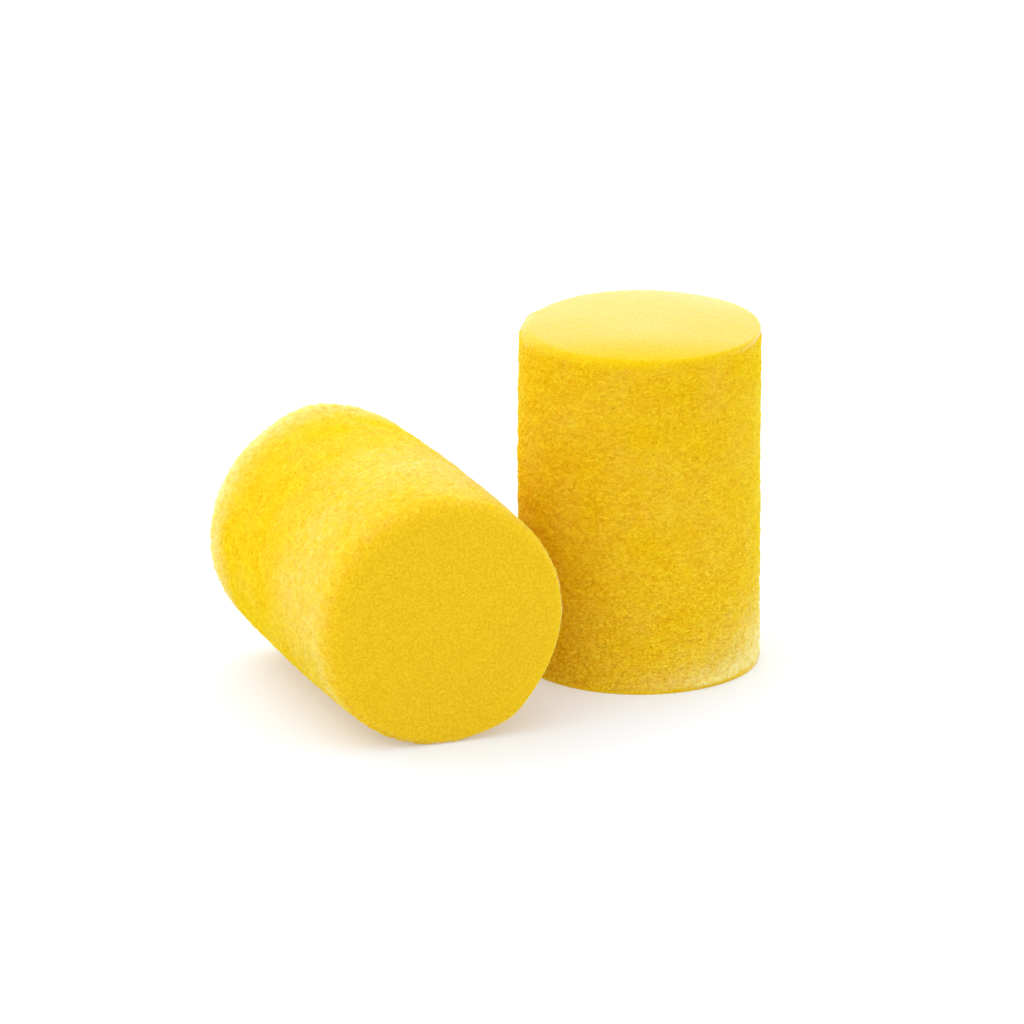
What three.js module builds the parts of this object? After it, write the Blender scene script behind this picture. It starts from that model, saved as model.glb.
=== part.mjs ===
// A pair of cylindrical slow-recovery foam ear plugs: one stands on its end, and the other lies on its side
// in front of it and to its left. Each plug is one solid slug of foam, punched from a thick sheet, with its two
// end faces flat and their rims slightly rounded. The lying plug is the fatter one of the pair.
//
// Units are millimetres, and +Z is up. The plugs stand on the plane z = 0, and the origin is at the middle of the
// bottom of the pair's bounding box.

import * as THREE from "three";

// The plugs' sizes
const STANDING_DIAMETER = 13.5;
const LYING_DIAMETER = 14.0;
const PLUG_LENGTH = 19.5;
const RIM_RADIUS = 0.4;

// How the curved surfaces are divided
const SIDES = 64;
const RIM_STEPS = 4;

// Where the lying plug's centre is, seen from the standing plug's axis, and how far its own axis is turned from Y
const LYING_OFFSET_X = -14.4;
const LYING_OFFSET_Y = -6.0;
const LYING_TURN = THREE.MathUtils.degToRad(21.2);

const FOAM_YELLOW = 0xf0c21c;
const FOAM_ROUGHNESS = 0.95;

const QUARTER_TURN = Math.PI / 2;
const HALF_SIDE_ANGLE = Math.PI / SIDES;

// A quarter circle of profile points round (centreRadius, centreHeight), from startAngle on
function rimArc(centreRadius, centreHeight, startAngle) {
  const points = [];
  for (let step = 0; step <= RIM_STEPS; step += 1) {
    const angle = startAngle + (QUARTER_TURN * step) / RIM_STEPS;
    const radius = centreRadius + RIM_RADIUS * Math.cos(angle);
    const height = centreHeight + RIM_RADIUS * Math.sin(angle);
    points.push(new THREE.Vector2(radius, height));
  }
  return points;
}

// The plug's outline from the middle of one end face, round both rims, to the middle of the other
function plugProfile(diameter) {
  const rimCentreRadius = diameter / 2 - RIM_RADIUS;
  const rimCentreHeight = PLUG_LENGTH / 2 - RIM_RADIUS;
  return [
    new THREE.Vector2(0, -PLUG_LENGTH / 2),
    ...rimArc(rimCentreRadius, -rimCentreHeight, -QUARTER_TURN),
    ...rimArc(rimCentreRadius, rimCentreHeight, 0),
    new THREE.Vector2(0, PLUG_LENGTH / 2),
  ];
}

// One foam slug, centred on its own middle with its axis along Y. The profile starts half a side round, so that
// a flat side, and not an edge between two sides, faces straight down when the slug lies on its side.
function foamPlug(name, diameter) {
  const geometry = new THREE.LatheGeometry(plugProfile(diameter), SIDES, HALF_SIDE_ANGLE);
  const material = new THREE.MeshStandardMaterial({
    color: FOAM_YELLOW,
    roughness: FOAM_ROUGHNESS,
    metalness: 0,
  });
  const plug = new THREE.Mesh(geometry, material);
  plug.name = name;
  return plug;
}

function standingPlug() {
  const plug = foamPlug("ear_plug_standing", STANDING_DIAMETER);
  plug.rotation.x = QUARTER_TURN;
  plug.position.z = PLUG_LENGTH / 2;
  return plug;
}

function lyingPlug() {
  const plug = foamPlug("ear_plug_lying", LYING_DIAMETER);
  const axisHeight = (LYING_DIAMETER / 2) * Math.cos(HALF_SIDE_ANGLE);
  plug.rotation.z = LYING_TURN;
  plug.position.set(LYING_OFFSET_X, LYING_OFFSET_Y, axisHeight);
  return plug;
}

// Both plugs, moved together so that the origin is at the middle of the bottom of their bounding box
function plugPair() {
  const pair = new THREE.Group();
  pair.add(standingPlug(), lyingPlug());
  const bounds = new THREE.Box3().setFromObject(pair, true);
  const centre = bounds.getCenter(new THREE.Vector3());
  pair.position.set(-centre.x, -centre.y, -bounds.min.z);
  return pair;
}

export default plugPair();
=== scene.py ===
"""Two yellow foam ear plugs, one standing and one lying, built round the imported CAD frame.

Each plug is one dense closed mesh: a punched slug of open-celled foam with a smooth cast skin on both ends.
Its cut side carries real pits, ripples, soft bumps and grooves, and just past the rims the skin stops at a
small ragged ledge. A plug's shape is worked out in millimetres, in a frame of its own with the plug's axis
along Z, and is then placed in metres in the CAD frame.
"""

import math
from collections import namedtuple

import bpy
import numpy as np
from mathutils import Matrix, Vector, noise


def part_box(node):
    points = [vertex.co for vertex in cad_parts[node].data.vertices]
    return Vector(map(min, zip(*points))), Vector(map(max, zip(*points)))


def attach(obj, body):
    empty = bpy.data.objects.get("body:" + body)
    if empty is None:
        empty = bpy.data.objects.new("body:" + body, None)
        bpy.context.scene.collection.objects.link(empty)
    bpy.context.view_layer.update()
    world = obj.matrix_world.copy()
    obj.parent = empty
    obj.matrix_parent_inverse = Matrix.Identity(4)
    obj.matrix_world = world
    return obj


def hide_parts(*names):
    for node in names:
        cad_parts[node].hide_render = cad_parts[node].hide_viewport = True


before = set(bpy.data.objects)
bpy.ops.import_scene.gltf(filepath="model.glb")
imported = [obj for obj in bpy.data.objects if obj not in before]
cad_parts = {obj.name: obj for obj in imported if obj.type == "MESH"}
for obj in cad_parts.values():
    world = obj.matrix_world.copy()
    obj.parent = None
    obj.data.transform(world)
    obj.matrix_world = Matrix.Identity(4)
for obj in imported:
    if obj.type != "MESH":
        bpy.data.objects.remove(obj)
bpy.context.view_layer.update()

MM = 0.001

# Mesh density: how many points there are round the side, and how many rows of them go up the side, over a
# rim and across a cap, which is an end face. A cap has fewer columns nearer its middle.
COLUMNS = 432
SIDE_ROWS = 186
RIM_ROWS = 6
CAP_ROWS = 40
FEWEST_CAP_COLUMNS = 27

# The foam's surface. Sizes, depths and heights are in millimetres. Each wave in the skin's edge has a size
# and a share.
DOME_POWER = 3
SKIN_EDGE_WAVINESS = 0.6
SKIN_EDGE_WAVES = ((2.6, 0.8), (0.8, 0.9), (0.35, 0.8))
SKIN_EDGE_WIDTH = 0.1
LEDGE_DEPTH = 0.02
CELL_SIZE = 0.28
PIT_RADIUS_IN_CELLS = 0.7
PIT_DEPTH = 0.06
RIPPLE_SIZE = 0.9
RIPPLE_HEIGHT = 0.045
LUMP_SIZE = 5.0
LUMP_HEIGHT = 0.05
CUT_FRAY = 0.06
SKIN_FRAY = 0.008
# The painted highlight's uneven spread and grain: it is a pale haze of reflected light
PAINTED_HIGHLIGHT_WAVE_SIZE = 2.2
PAINTED_HIGHLIGHT_GRAIN_SIZE = 0.4
PAINTED_HIGHLIGHT_GRAIN = 0.8
GRAIN_STRENGTH_POWER = 3

# Spots belong to the side. Over a rim they fade out, between these shares of the plug's radius.
SPOTS_GONE_AT = 0.8
SPOTS_WHOLE_AT = 0.95

# The UV map for baking, in shares of the image: the side is one strip, and the two end faces are under it.
UV_MARGIN = 0.01
UV_STRIP_BOTTOM = 0.5
UV_TOP_FACE_U = 0.2
UV_BOTTOM_FACE_U = 0.6
UV_FACES_V = 0.2
FLAT_TOLERANCE = 1e-6

# The foam's colours: its skin, its cut side with cell walls and pores, and a painted highlight, a pale haze
# of reflected light, laid on the cut side
SKIN_COLOUR = (0.84, 0.585, 0.014)
SKIN_DARK_COLOUR = (0.72, 0.445, 0.001)
CUT_COLOUR = (0.82, 0.49, 0.002)
CUT_COLOUR_PALER = (0.83, 0.545, 0.003)
WALL_COLOUR = (0.93, 0.72, 0.04)
PORE_COLOUR = (0.62, 0.33, 0.003)
# Painted highlight: a pale haze of reflected light, in its lighter and darker grain
PAINTED_HIGHLIGHT_COLOUR = (0.97, 0.87, 0.38)
PAINTED_HIGHLIGHT_DARK_COLOUR = (0.86, 0.69, 0.17)

# The foam's grain. Its tone is coarse and fine noise less the pits, and is 0 where these are at their
# middle values. Taking off the pits is painted shade, which darkens the colour in the pits. The foam is
# all wall where the tone is TONE_RANGE, and all pore where it is -TONE_RANGE.
MOTTLE_PER_MM = 0.8
MOTTLE_DETAIL = 4.0
MOTTLE_LOW = 0.35
MOTTLE_HIGH = 0.65
COARSE_PER_MM = 3.4
COARSE_DETAIL = 2.0
COARSE_SHARE = 0.65
FINE_PER_MM = 8.0
FINE_DETAIL = 1.0
FINE_SHARE = 1.0
FINE_LOW = 0.3
FINE_HIGH = 0.7
NOISE_MIDDLE = 0.5
# Painted shade in the pits: how far their depth darkens the colour towards the pores
PIT_SHADE_SHARE = 0.1
PIT_MIDDLE = 0.12
TONE_RANGE = 0.4

# How the foam takes the light. BUMP_HEIGHT and the subsurface scale are in millimetres.
SMOOTHEST = 0.7
ROUGHEST = 0.9
BUMP_HEIGHT = 0.02
SKIN_GRAIN_HEIGHT = 0.5
SKIN_SPECULAR = 0.1
CUT_SPECULAR = 0.03
SKIN_SHEEN = 0.87
SHEEN_ROUGHNESS = 0.35
SUBSURFACE_WEIGHT = 0.45
SUBSURFACE_REACH = (1.0, 1.3, 0.3)
SUBSURFACE_SCALE = 1.0

# The sockets of a Mix node that takes colours, which have the same names as its other sockets
MIX_FIRST = 6
MIX_SECOND = 7
MIX_RESULT = 2

# The camera. It looks at CAMERA_AIM, measured from the foot of the standing plug's axis.
CAMERA_ELEVATION = math.radians(18.51)
CAMERA_DISTANCE = 0.7883
CAMERA_LENS = 495.9
CAMERA_CLIP_END = 100.0
CAMERA_AIM = Vector((-7.109, 0.0, 8.471)) * MM

# The studio: where each soft light comes from and how strong it is, and a pale floor with a faint glow.
# The floor has one colour for the light that it throws back onto the plugs, and a lighter, bluish one for
# the camera.
SOFT_LIGHTS = (
    ((0, -1, 1), 0.85),
    ((-1, 0, 1), 1.4),
    ((0, 1, 0), 1.5),
    ((-1, 1, 0), 0.55),
    ((1, 1, 0), 1.5),
    ((1, -1, 0), 0.85),
)
LIGHT_BOUNCES = 8
FLOOR_HALF_WIDTH = 3.0
FLOOR_DEPTH = 0.002 * MM
FLOOR_COLOUR = (0.63, 0.63, 0.63)
FLOOR_SEEN_COLOUR = (0.66, 0.70, 0.77)
FLOOR_GLOW = 0.25
FLOOR_ROUGHNESS = 0.9
FLOOR_SPECULAR = 0.2
WHITE = (1.0, 1.0, 1.0, 1.0)


# What describes a plug. Lengths are in millimetres, angles run anticlockwise round the plug's own axis,
# seen from its top, and heights are measured from its middle.

# A band goes round one end of the plug. Its size is size + swing * cos(angle - towards), and never under
# SMALLEST_BAND.
Band = namedtuple("Band", "size swing towards")
SMALLEST_BAND = 0.08

# A spot is a soft oval on the plug's side. The strength of a bump is its height, which is negative for a
# groove, and the strength of a highlight spot is how far its painted highlight, a pale haze of reflected
# light, whitens the foam's colour, from 0 to 1.
Spot = namedtuple("Spot", "angle height width tallness strength")

# The skin's pale bloom is whole up to start, measured from the plug's axis in the direction towards. From
# there to end it is rubbed off, but never to under least.
Bloom = namedtuple("Bloom", "towards start end least")
WHOLE_BLOOM = Bloom(towards=0.0, start=0.0, end=1.0, least=1.0)

# The rims are the bands that are rounded, with their sizes as radii, and the skin bands are how far the
# skin comes down the side from the bottom end and from the top end. The end faces rise by dome in their
# middles. The plug is wider at its middle and at its top, by the shares barrel and taper. Its foam
# pattern is squeezed by grain_squeeze along X, Y and Z, is as bold as grain_strengths at the bottom and
# at the top, and starts at pattern_shift, so that no two plugs are alike. pale_wave is how
# unevenly the painted highlight, a pale haze of reflected light, spreads away from its spots.
Shape = namedtuple("Shape", "radius length bottom_rim top_rim dome barrel taper skin_bands bumps pale_spots "
                            "pale_wave bloom grain_squeeze grain_strengths pattern_shift")

STANDING = Shape(
    radius=6.75,
    length=19.45,
    bottom_rim=Band(0.10, 0.03, math.radians(180)),
    top_rim=Band(0.42, 0.33, math.radians(150)),
    dome=0.3,
    barrel=0.004,
    taper=-0.001,
    skin_bands=(Band(0.15, 0.1, 0.0), Band(0.28, 0.14, math.radians(-90))),
    bumps=(
        Spot(math.radians(-54), -9.40, 1.7, 0.16, 0.16),
        Spot(math.radians(-52), -9.62, 1.6, 0.10, -0.08),
        Spot(math.radians(158), 9.45, 0.35, 0.25, 0.10),
        Spot(math.radians(-128), 9.1, 1.2, 0.2, -0.06),
    ),
    # Painted highlights: a pale haze of reflected light near the bottom, and faintly over the front
    pale_spots=(
        Spot(math.radians(-5), -9.7, 4.5, 2.8, 1.0),
        Spot(math.radians(-50), -9.9, 4.0, 1.2, 0.6),
        Spot(math.radians(-90), 0.0, 60.0, 60.0, 0.025),
    ),
    pale_wave=0.05,
    bloom=Bloom(math.radians(-90), 3.0, 7.2, 0.1),
    grain_squeeze=(1.0, 1.0, 1.9),
    grain_strengths=(1.6, 0.88),
    pattern_shift=0.0,
)
LYING = Shape(
    radius=6.925,
    length=19.3,
    bottom_rim=Band(0.55, 0.45, math.radians(-150)),
    top_rim=Band(0.95, 0.0, 0.0),
    dome=0.3,
    barrel=0.0266,
    taper=-0.0171,
    skin_bands=(Band(0.07, 0.03, math.radians(180)), Band(0.3, 0.1, 0.0)),
    bumps=(
        Spot(math.radians(-95), 9.1, 2.4, 0.8, 0.30),
        Spot(math.radians(-20), -4.0, 3.0, 5.0, 0.08),
        Spot(math.radians(55), -9.4, 1.5, 0.8, 0.2),
    ),
    # Painted highlights: a pale haze of reflected light round the far rim and on the side
    pale_spots=(
        Spot(math.radians(-150), 9.65, 14.0, 1.9, 1.0),
        Spot(math.radians(-60), -3.6, 7.0, 5.0, 0.34),
        Spot(math.radians(-165), -5.4, 5.0, 3.2, 0.22),
        Spot(math.radians(165), -8.2, 5.0, 1.2, 0.2),
    ),
    pale_wave=0.06,
    bloom=WHOLE_BLOOM,
    grain_squeeze=(1.0, 1.0, 0.8),
    grain_strengths=(0.7, 0.66),
    pattern_shift=40.0,
)
LYING_TURN = math.radians(21.2)
LYING_SINK = 0.06 * MM


# The smooth plug. Its surface is built from rings of points, from the middle of the bottom face to the
# middle of the top face. A ring's end is -1 at the bottom, 1 at the top and 0 between the rims. Its share
# is how far across a cap it is, from 0 in the middle to 1 at the rim, its turn runs from 0 on the cap to
# a quarter turn on the side, and its climb runs from 0 at the bottom rim to 1 at the top rim. It has as
# many points as columns.

Ring = namedtuple("Ring", "end share turn climb columns")


def end_rings():
    """The rings of the top end, from the side inwards: over the rim, and then across the cap."""
    turns = [math.pi / 2 * (1 - step / RIM_ROWS) for step in range(RIM_ROWS + 1)]
    rings = [Ring(1, 1.0, turn, 1.0, COLUMNS) for turn in turns]
    columns = COLUMNS // 2
    for step in range(1, CAP_ROWS):
        share = 1.0 - step / CAP_ROWS
        if columns > FEWEST_CAP_COLUMNS and share * COLUMNS < columns:
            columns //= 2
        rings.append(Ring(1, share, 0.0, 1.0, columns))
    return rings


def plug_rings():
    top = end_rings()
    bottom = [ring._replace(end=-1, climb=0.0) for ring in reversed(top)]
    side = [Ring(0, 1.0, math.pi / 2, step / SIDE_ROWS, COLUMNS) for step in range(1, SIDE_ROWS)]
    return bottom + side + top


def band_size(band, angle):
    return np.maximum(band.size + band.swing * np.cos(angle - band.towards), SMALLEST_BAND)


def ring_points(shape, ring):
    """One ring's points and their outward directions."""
    angle = math.tau * np.arange(ring.columns) / ring.columns
    low = -shape.length / 2 + band_size(shape.bottom_rim, angle)
    high = shape.length / 2 - band_size(shape.top_rim, angle)
    rounding = band_size(shape.top_rim if ring.end > 0 else shape.bottom_rim, angle)
    outward = math.sin(ring.turn)
    upward = ring.end * math.cos(ring.turn)
    reach = np.full(ring.columns, shape.radius)
    height = low + (high - low) * ring.climb
    if ring.end:
        reach = (shape.radius - rounding) * ring.share + rounding * outward
        height = height + rounding * upward
    points = np.stack([reach * np.cos(angle), reach * np.sin(angle), height], 1)
    normals = np.stack([outward * np.cos(angle), outward * np.sin(angle), np.full(ring.columns, upward)], 1)
    return points, normals


def strip_faces(low, low_columns, high, high_columns):
    """The faces between two rings, which start at points low and high. One may have half as many columns."""
    faces = []
    for i in range(min(low_columns, high_columns)):
        j = (i + 1) % min(low_columns, high_columns)
        if low_columns == high_columns:
            faces.append((low + i, low + j, high + j, high + i))
        elif low_columns > high_columns:
            left, middle, right = low + 2 * i, low + 2 * i + 1, low + (2 * i + 2) % low_columns
            faces += [(left, middle, high + i), (middle, high + j, high + i), (middle, right, high + j)]
        else:
            left, middle, right = high + 2 * i, high + 2 * i + 1, high + (2 * i + 2) % high_columns
            faces += [(low + i, middle, left), (low + i, low + j, middle), (low + j, right, middle)]
    return faces


def plug_surface(shape):
    """A smooth plug: its points, their outward directions and its faces."""
    rings = plug_rings()
    middle = np.array([[0.0, 0.0, shape.length / 2]])
    up = np.array([[0.0, 0.0, 1.0]])
    made = [(-middle, -up)] + [ring_points(shape, ring) for ring in rings] + [(middle, up)]
    points, normals = (np.concatenate(parts) for parts in zip(*made))
    faces = []
    start = 1
    for ring, above in zip(rings, rings[1:]):
        faces += strip_faces(start, ring.columns, start + ring.columns, above.columns)
        start += ring.columns
    top = len(points) - 1
    columns = rings[-1].columns
    faces += [(0, 1 + (i + 1) % columns, 1 + i) for i in range(columns)]
    faces += [(top, start + i, start + (i + 1) % columns) for i in range(columns)]
    return points, normals, faces


# Foam: what the cut side and the skin look like close up

def smoothstep(low, high, value):
    """0 below low, 1 above high, and an S-curve between them."""
    share = np.clip((value - low) / (high - low), 0.0, 1.0)
    return share * share * (3.0 - 2.0 * share)


def noise_at(points, size, shift):
    """Smooth noise of about -1 to 1, whose waves are about size long."""
    return np.array([noise.noise(Vector(p) / size + Vector((shift, 0, 0))) for p in points])


def pit_depths(points, shape):
    """How deep in a pit each point is, from 0 to 1. The pits lie side by side and have random depths."""
    depths = []
    for p in points * shape.grain_squeeze / CELL_SIZE + shape.pattern_shift:
        distances, middles = noise.voronoi(Vector(p))
        share = (1 + noise.cell(middles[0])) / 2
        depths.append(share * max(0.0, 1.0 - distances[0] / PIT_RADIUS_IN_CELLS))
    return np.array(depths)


def around(points):
    return np.arctan2(points[:, 1], points[:, 0])


def off_axis(points):
    return np.hypot(points[:, 0], points[:, 1])


def cut_share(points, shape):
    """0 where the smooth skin covers the foam, on the ends and just over their rims, and 1 on the side."""
    bottom_band, top_band = (band_size(band, around(points)) for band in shape.skin_bands)
    from_end = shape.length / 2 - np.abs(points[:, 2])
    reach = np.where(points[:, 2] > 0, top_band, bottom_band)
    waves = [share * noise_at(points, size, shape.pattern_shift) for size, share in SKIN_EDGE_WAVES]
    edge = reach * (1.0 + SKIN_EDGE_WAVINESS * sum(waves))
    return smoothstep(edge, edge + SKIN_EDGE_WIDTH, from_end)


def spots_at(points, shape, spots):
    """The summed strength at each point of soft oval spots on the plug's side."""
    total = np.zeros(len(points))
    for spot in spots:
        turn = (around(points) - spot.angle + math.pi) % math.tau - math.pi
        across = turn * shape.radius / spot.width
        along = (points[:, 2] - spot.height) / spot.tallness
        total += spot.strength * np.exp(-across**2 - along**2)
    return total * smoothstep(SPOTS_GONE_AT, SPOTS_WHOLE_AT, off_axis(points) / shape.radius)


def painted_highlight_share(points, shape):
    """How much painted highlight, a pale haze of reflected light, lies on the foam at each point, from 0 to
    1: in spots and waves, which both look grainy.
    """
    wave = shape.pale_wave * noise_at(points, PAINTED_HIGHLIGHT_WAVE_SIZE, shape.pattern_shift)
    grain = PAINTED_HIGHLIGHT_GRAIN * noise_at(points, PAINTED_HIGHLIGHT_GRAIN_SIZE, shape.pattern_shift)
    return np.clip((spots_at(points, shape, shape.pale_spots) + wave) * (1.0 + grain), 0.0, 1.0)


def bloom_share(points, shape):
    """How much pale bloom the skin carries at each point."""
    bloom = shape.bloom
    forward = points[:, 0] * math.cos(bloom.towards) + points[:, 1] * math.sin(bloom.towards)
    return np.clip((bloom.end - forward) / (bloom.end - bloom.start), bloom.least, 1.0)


def grain_strength(points, shape):
    """How bold the grain is at each point. It changes most in the lower half."""
    at_bottom, at_top = shape.grain_strengths
    lowness = np.clip(0.5 - points[:, 2] / shape.length, 0.0, 1.0)
    return at_top + (at_bottom - at_top) * lowness**GRAIN_STRENGTH_POWER


def foam_relief(points, shape, cut):
    """Each point's height above the smooth plug, and how deep in a pit it is, from 0 to 1."""
    pit = cut * pit_depths(points, shape)
    lumps = LUMP_HEIGHT * noise_at(points, LUMP_SIZE, shape.pattern_shift)
    ripples = RIPPLE_HEIGHT * cut * noise_at(points * shape.grain_squeeze, RIPPLE_SIZE, shape.pattern_shift)
    fray = np.random.default_rng(int(shape.pattern_shift)).uniform(-1.0, 1.0, len(points))
    fray *= SKIN_FRAY + (CUT_FRAY - SKIN_FRAY) * cut
    bumps = spots_at(points, shape, shape.bumps)
    return lumps + ripples + fray + bumps - LEDGE_DEPTH * cut - PIT_DEPTH * pit, pit


def swollen(points, shape):
    """The points with the plug's barrel shape and its taper, and with its two end faces domed."""
    along = points[:, 2] / (shape.length / 2)
    width = 1.0 + shape.barrel * (1.0 - along**2) + shape.taper * along
    inward = 1.0 - (off_axis(points) / shape.radius) ** DOME_POWER
    rise = shape.dome * np.maximum(inward, 0.0) * np.sign(along)
    return np.stack([points[:, 0] * width, points[:, 1] * width, points[:, 2] + rise], 1)


# The meshes

def past_the_seam(angle, face, face_count):
    """The corners' angles, with a whole turn added to the low ones of each face that crosses angle 0."""
    first = np.full(face_count, np.inf)
    last = np.zeros(face_count)
    np.minimum.at(first, face, angle)
    np.maximum.at(last, face, angle)
    crosses = (last - first)[face] > math.pi
    return np.where(crosses & (angle < math.pi), angle + math.tau, angle)


def strip_uv(mesh, points, shape):
    """An even UV map for baking: the side as one strip, with the two end faces under it."""
    corners = np.empty(len(mesh.loops), np.int32)
    mesh.loops.foreach_get("vertex_index", corners)
    corner_counts = np.empty(len(mesh.polygons), np.int32)
    mesh.polygons.foreach_get("loop_total", corner_counts)
    face_count = len(corner_counts)
    face = np.repeat(np.arange(face_count), corner_counts)
    at_corners = points[corners]
    height = at_corners[:, 2]
    angle = past_the_seam(around(at_corners) % math.tau, face, face_count)
    flat = np.ones(face_count, bool)
    np.logical_and.at(flat, face, np.abs(height) > shape.length / 2 - FLAT_TOLERANCE)

    strip_length = 1.0 - 2 * UV_MARGIN
    scale = strip_length / (math.tau * shape.radius)
    over_the_rim = np.sign(height) * (shape.radius - off_axis(at_corners))
    side_u = angle / math.tau * strip_length + UV_MARGIN
    side_v = (height + shape.length / 2 + over_the_rim) * scale + UV_STRIP_BOTTOM
    flat_u = np.where(height > 0, UV_TOP_FACE_U, UV_BOTTOM_FACE_U) + at_corners[:, 0] * scale
    flat_v = UV_FACES_V + at_corners[:, 1] * scale
    uv = np.stack([np.where(flat[face], flat_u, side_u), np.where(flat[face], flat_v, side_v)], 1)
    layer = mesh.uv_layers.new(name="OFBake")
    layer.data.foreach_set("uv", uv.astype(np.float32).ravel())


def add_attribute(mesh, name, kind, values):
    field = "vector" if kind == "FLOAT_VECTOR" else "value"
    mesh.attributes.new(name, kind, "POINT").data.foreach_set(field, values.astype(np.float32).ravel())


def foam_plug(name, shape, place):
    """One plug as a mesh object, put in the CAD frame by the matrix place. It stays above the floor."""
    points, normals, faces = plug_surface(shape)
    cut = cut_share(points, shape)
    height, pit = foam_relief(points, shape, cut)
    local = swollen(points, shape) + normals * height[:, None]
    world = local * MM @ np.array(place.to_3x3()).T + np.array(place.translation)
    world[:, 2] = np.maximum(world[:, 2], 0.0)
    mesh = bpy.data.meshes.new(name)
    mesh.from_pydata(world, [], faces)
    strip_uv(mesh, points, shape)
    add_attribute(mesh, "grain_point", "FLOAT_VECTOR", points * shape.grain_squeeze + shape.pattern_shift)
    add_attribute(mesh, "grain_strength", "FLOAT", grain_strength(points, shape))
    add_attribute(mesh, "cut", "FLOAT", cut)
    add_attribute(mesh, "pit", "FLOAT", pit)
    # The painted highlight's share: a pale haze of reflected light
    add_attribute(mesh, "pale", "FLOAT", painted_highlight_share(points, shape))
    add_attribute(mesh, "bloom", "FLOAT", bloom_share(points, shape))
    mesh.shade_smooth()
    plug = bpy.data.objects.new(name, mesh)
    bpy.context.scene.collection.objects.link(plug)
    return plug


# Materials

def set_sockets(tree, made, sockets):
    """Sets a node's input sockets, by name or number, to values or by links from other nodes' outputs."""
    for socket, value in sockets.items():
        if isinstance(value, bpy.types.NodeSocket):
            tree.links.new(value, made.inputs[socket])
        else:
            made.inputs[socket].default_value = value


def node(tree, kind, sockets, **settings):
    """A new node with these settings, and with its input sockets set."""
    made = tree.nodes.new(kind)
    for name, value in settings.items():
        setattr(made, name, value)
    set_sockets(tree, made, sockets)
    return made


def attribute(tree, name, output="Fac"):
    return node(tree, "ShaderNodeAttribute", {}, attribute_name=name).outputs[output]


def calculate(tree, operation, first, second):
    return node(tree, "ShaderNodeMath", {0: first, 1: second}, operation=operation).outputs[0]


def ramp(tree, value, low, high, to_low=0.0, to_high=1.0):
    """value mapped from low..high to to_low..to_high."""
    sockets = {"Value": value, "From Min": low, "From Max": high, "To Min": to_low, "To Max": to_high}
    return node(tree, "ShaderNodeMapRange", sockets).outputs["Result"]


def with_alpha(colour):
    """A colour with full alpha. An output stays as it is."""
    return colour if isinstance(colour, bpy.types.NodeSocket) else (*colour, 1.0)


def mixed(tree, factor, first, second):
    """A colour mix. first and second are colours or outputs."""
    sockets = {"Factor": factor, MIX_FIRST: with_alpha(first), MIX_SECOND: with_alpha(second)}
    return node(tree, "ShaderNodeMix", sockets, data_type="RGBA").outputs[MIX_RESULT]


def noise_texture(tree, point, per_mm, detail):
    sockets = {"Vector": point, "Scale": per_mm, "Detail": detail}
    return node(tree, "ShaderNodeTexNoise", sockets).outputs["Fac"]


def grain_tone(tree, coarse, fine):
    """The tone of the cut foam's grain: positive on its cell walls, negative in its pores, and lower in the
    pits as painted shade.
    """
    tone = calculate(tree, "ADD", calculate(tree, "MULTIPLY", coarse, COARSE_SHARE),
                     calculate(tree, "MULTIPLY", fine, FINE_SHARE))
    # Painted shade: the colour darkens in the pits
    tone = calculate(tree, "SUBTRACT", tone, calculate(tree, "MULTIPLY", attribute(tree, "pit"), PIT_SHADE_SHARE))
    middle = (COARSE_SHARE + FINE_SHARE) * NOISE_MIDDLE - PIT_SHADE_SHARE * PIT_MIDDLE
    tone = calculate(tree, "SUBTRACT", tone, middle)
    return calculate(tree, "MULTIPLY", tone, attribute(tree, "grain_strength"))


def cut_colour(tree, point, tone):
    """The cut side's colour: softly mottled, with paler cell walls and darker pores, and with a painted
    highlight, a pale haze of reflected light, in spots.
    """
    mottle = noise_texture(tree, point, MOTTLE_PER_MM, MOTTLE_DETAIL)
    side = mixed(tree, ramp(tree, mottle, MOTTLE_LOW, MOTTLE_HIGH), CUT_COLOUR, CUT_COLOUR_PALER)
    side = mixed(tree, ramp(tree, tone, 0.0, TONE_RANGE), side, WALL_COLOUR)
    side = mixed(tree, ramp(tree, tone, 0.0, -TONE_RANGE), side, PORE_COLOUR)
    # Painted highlight: a pale, grainy haze of reflected light laid on the colour
    highlighted_side = mixed(tree, ramp(tree, tone, -TONE_RANGE, TONE_RANGE), PAINTED_HIGHLIGHT_DARK_COLOUR, PAINTED_HIGHLIGHT_COLOUR)
    return mixed(tree, attribute(tree, "pale"), side, highlighted_side)


def skin_and_cut(tree, on_skin, on_cut):
    """A value that is on_skin times the bloom on the skin, and on_cut on the cut side."""
    cut = attribute(tree, "cut")
    skin_part = ramp(tree, cut, 0.0, 1.0, on_skin, 0.0)
    cut_part = ramp(tree, cut, 0.0, 1.0, 0.0, on_cut)
    return calculate(tree, "ADD", calculate(tree, "MULTIPLY", skin_part, attribute(tree, "bloom")), cut_part)


def new_material(name):
    material = bpy.data.materials.new(name)
    material.use_nodes = True
    return material


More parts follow.
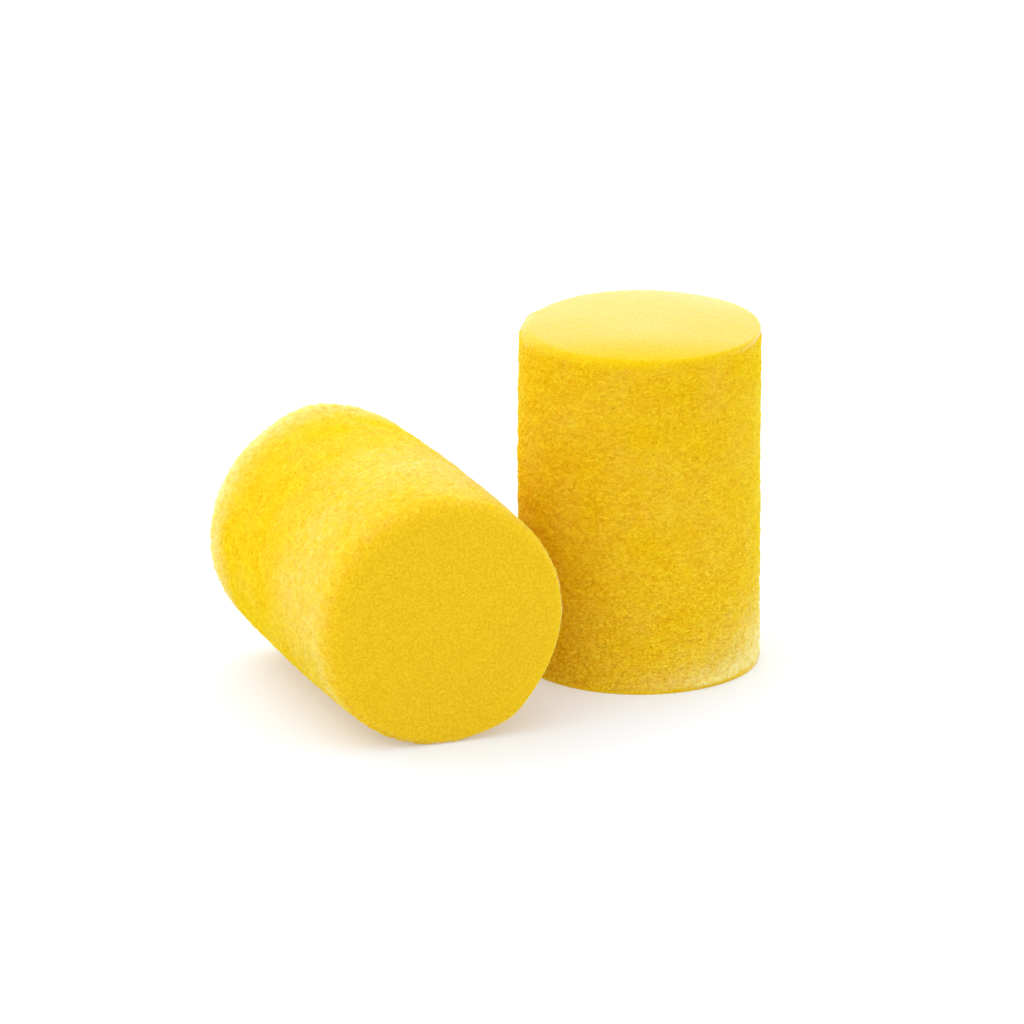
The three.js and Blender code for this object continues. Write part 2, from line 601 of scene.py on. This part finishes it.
def foam_material():
    """Yellow open-celled foam, with pores on the cut side, and fine grain and a pale bloom on the skin."""
    material = new_material("foam")
    tree = material.node_tree
    point = attribute(tree, "grain_point", "Vector")
    cut = attribute(tree, "cut")
    coarse = noise_texture(tree, point, COARSE_PER_MM, COARSE_DETAIL)
    fine = noise_texture(tree, point, FINE_PER_MM, FINE_DETAIL)
    tone = grain_tone(tree, coarse, fine)
    skin = mixed(tree, ramp(tree, fine, FINE_LOW, FINE_HIGH), SKIN_DARK_COLOUR, SKIN_COLOUR)
    height = calculate(tree, "ADD", calculate(tree, "MULTIPLY", tone, cut),
                       calculate(tree, "MULTIPLY", fine, SKIN_GRAIN_HEIGHT))
    bump = node(tree, "ShaderNodeBump", {"Height": height, "Strength": 1.0, "Distance": BUMP_HEIGHT * MM})
    set_sockets(tree, tree.nodes["Principled BSDF"], {
        "Base Color": mixed(tree, cut, skin, cut_colour(tree, point, tone)),
        "Roughness": ramp(tree, fine, FINE_LOW, FINE_HIGH, SMOOTHEST, ROUGHEST),
        "Normal": bump.outputs["Normal"],
        "Specular IOR Level": skin_and_cut(tree, SKIN_SPECULAR, CUT_SPECULAR),
        "Sheen Weight": skin_and_cut(tree, SKIN_SHEEN, 0.0),
        "Sheen Roughness": SHEEN_ROUGHNESS,
        "Subsurface Weight": SUBSURFACE_WEIGHT,
        "Subsurface Radius": SUBSURFACE_REACH,
        "Subsurface Scale": SUBSURFACE_SCALE * MM,
    })
    return material


def floor_material():
    material = new_material("floor")
    tree = material.node_tree
    seen = node(tree, "ShaderNodeLightPath", {}).outputs["Is Camera Ray"]
    set_sockets(tree, tree.nodes["Principled BSDF"], {
        "Base Color": mixed(tree, seen, FLOOR_COLOUR, FLOOR_SEEN_COLOUR),
        "Roughness": FLOOR_ROUGHNESS,
        "Specular IOR Level": FLOOR_SPECULAR,
        "Emission Color": WHITE,
        "Emission Strength": FLOOR_GLOW,
    })
    return material


# The studio

def studio_floor():
    """A flat floor. It is a hair under the plugs, so that they don't share a plane with it."""
    half = FLOOR_HALF_WIDTH
    corners = [(x, y, -FLOOR_DEPTH) for x, y in ((-half, -half), (half, -half), (half, half), (-half, half))]
    mesh = bpy.data.meshes.new("floor")
    mesh.from_pydata(corners, [], [(0, 1, 2, 3)])
    mesh.materials.append(floor_material())
    floor = bpy.data.objects.new("floor", mesh)
    bpy.context.scene.collection.objects.link(floor)


def studio_world():
    """Soft lights round the plugs, each fading as the square of a cosine. The camera sees plain white."""
    world = bpy.data.worlds.new("studio")
    bpy.context.scene.world = world
    world.use_nodes = True
    tree = world.node_tree
    direction = node(tree, "ShaderNodeTexCoord", {}).outputs["Generated"]
    total = node(tree, "ShaderNodeLightPath", {}).outputs["Is Camera Ray"]
    for towards, strength in SOFT_LIGHTS:
        sockets = {0: direction, 1: Vector(towards).normalized()}
        facing = node(tree, "ShaderNodeVectorMath", sockets, operation="DOT_PRODUCT").outputs["Value"]
        facing = calculate(tree, "MAXIMUM", facing, 0.0)
        glow = calculate(tree, "MULTIPLY", calculate(tree, "MULTIPLY", facing, facing), strength)
        total = calculate(tree, "ADD", total, glow)
    set_sockets(tree, tree.nodes["Background"], {"Color": WHITE, "Strength": total})


def studio_camera(aim):
    camera = bpy.data.objects.new("camera", bpy.data.cameras.new("camera"))
    camera.data.lens = CAMERA_LENS
    camera.data.clip_end = CAMERA_CLIP_END
    back = Vector((0.0, -math.cos(CAMERA_ELEVATION), math.sin(CAMERA_ELEVATION)))
    camera.location = aim + back * CAMERA_DISTANCE
    camera.rotation_euler = (-back).to_track_quat("-Z", "Y").to_euler()
    bpy.context.scene.collection.objects.link(camera)
    bpy.context.scene.camera = camera


# Putting it together

def centre_of(node_name):
    low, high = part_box(node_name)
    return (low + high) / 2


def standing_place():
    centre = centre_of("ear_plug_standing")
    return Matrix.Translation((centre.x, centre.y, STANDING.length / 2 * MM))


def lying_place():
    """The lying plug's own Z axis points to its far end, and its lowest line is a little under the floor."""
    centre = centre_of("ear_plug_lying")
    widest = LYING.radius * (1 + LYING.barrel) * MM
    place = Matrix.Translation((centre.x, centre.y, widest - LYING_SINK))
    return place @ Matrix.Rotation(LYING_TURN, 4, "Z") @ Matrix.Rotation(-math.pi / 2, 4, "X")


def add_plug(name, shape, place, cad_node, body, material):
    plug = foam_plug(name, shape, place)
    plug.data.materials.append(material)
    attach(plug, body)
    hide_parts(cad_node)


def main():
    standing_axis = centre_of("ear_plug_standing")
    studio_camera(Vector((standing_axis.x, standing_axis.y, 0.0)) + CAMERA_AIM)
    studio_floor()
    studio_world()
    foam = foam_material()
    add_plug("standing_foam_plug", STANDING, standing_place(), "ear_plug_standing", "standing_plug", foam)
    add_plug("lying_foam_plug", LYING, lying_place(), "ear_plug_lying", "lying_plug", foam)
    bpy.context.scene.view_settings.view_transform = "Standard"
    bpy.context.scene.cycles.diffuse_bounces = LIGHT_BOUNCES
    bpy.context.scene.cycles.max_bounces = LIGHT_BOUNCES


main()
